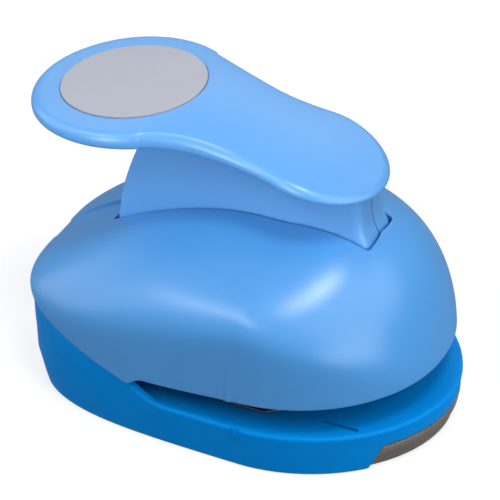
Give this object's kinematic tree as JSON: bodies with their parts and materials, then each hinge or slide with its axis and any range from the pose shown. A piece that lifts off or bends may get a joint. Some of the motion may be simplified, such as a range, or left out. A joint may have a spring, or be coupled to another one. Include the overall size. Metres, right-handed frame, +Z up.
{
  "type": "craft punch",
  "caption": "Lever-operated craft punch for paper: egg-shaped housing over a flat base, wide two-lobed lever, open throat and pull-out chip tray.",
  "frame": {"origin": "on the resting plane, under the middle of the base's length and width", "axes": "+X towards the nose and open throat, +Y to the left, +Z up"},
  "size_m": [0.1244, 0.084, 0.0884],
  "materials": {
    "base_plastic": "fine satin moulded plastic",
    "housing_plastic": "satin moulded plastic with a soft sheen",
    "lever_plastic": "satin moulded plastic with a soft sheen",
    "label_film": "smooth matt film",
    "smoked_plastic": "translucent moulded plastic",
    "block_plastic": "moulded plastic",
    "plate_steel": "ground and brushed",
    "fastener_steel": "zinc plated",
    "spring_steel": "drawn spring wire"
  },
  "bodies": {
    "frame": {"base": "base_plastic", "bottom_cover": "base_plastic", "die_plate": "plate_steel", "guide_plate": "plate_steel", "upper_housing": "housing_plastic", "pivot_pin": "fastener_steel", "guide_post_left": "fastener_steel", "guide_post_right": "fastener_steel", "return_spring_left": "spring_steel", "return_spring_right": "spring_steel", "plate_screw_left": "fastener_steel", "plate_screw_right": "fastener_steel", "plate_rivet_left_1": "fastener_steel", "plate_rivet_left_2": "fastener_steel", "plate_rivet_right_1": "fastener_steel", "plate_rivet_right_2": "fastener_steel", "housing_screw_left_1": "fastener_steel", "housing_screw_left_2": "fastener_steel", "housing_screw_right_1": "fastener_steel", "housing_screw_right_2": "fastener_steel"},
    "lever_arm": {"lever": "lever_plastic", "label_disc": "label_film"},
    "press": {"press_block": "block_plastic", "punch_cutter": "plate_steel", "cutter_screw_left": "fastener_steel", "cutter_screw_right": "fastener_steel"},
    "tray": {"chip_tray": "smoked_plastic"}
  },
  "joints": [
    {"name": "lever_hinge", "type": "hinge", "parent": "frame", "child": "lever_arm", "pos_m": [0.042, 0, 0.0395], "axis": [0, -1, 0], "range_deg": [0, 11], "stiffness_Nm_per_rad": 2.9, "springref_deg": -7.45},
    {"name": "press_slide", "type": "slide", "parent": "frame", "child": "press", "axis": [0, 0, -1], "range_m": [0, 0.0061], "deforming": ["return_spring_left", "return_spring_right"]},
    {"name": "tray_slide", "type": "slide", "parent": "frame", "child": "tray", "axis": [1, 0, 0], "range_m": [0, 0.06]}
  ],
  "couplings": [
    {"joint": "press_slide", "follows": "lever_hinge", "m_per_rad": 0.03125}
  ]
}
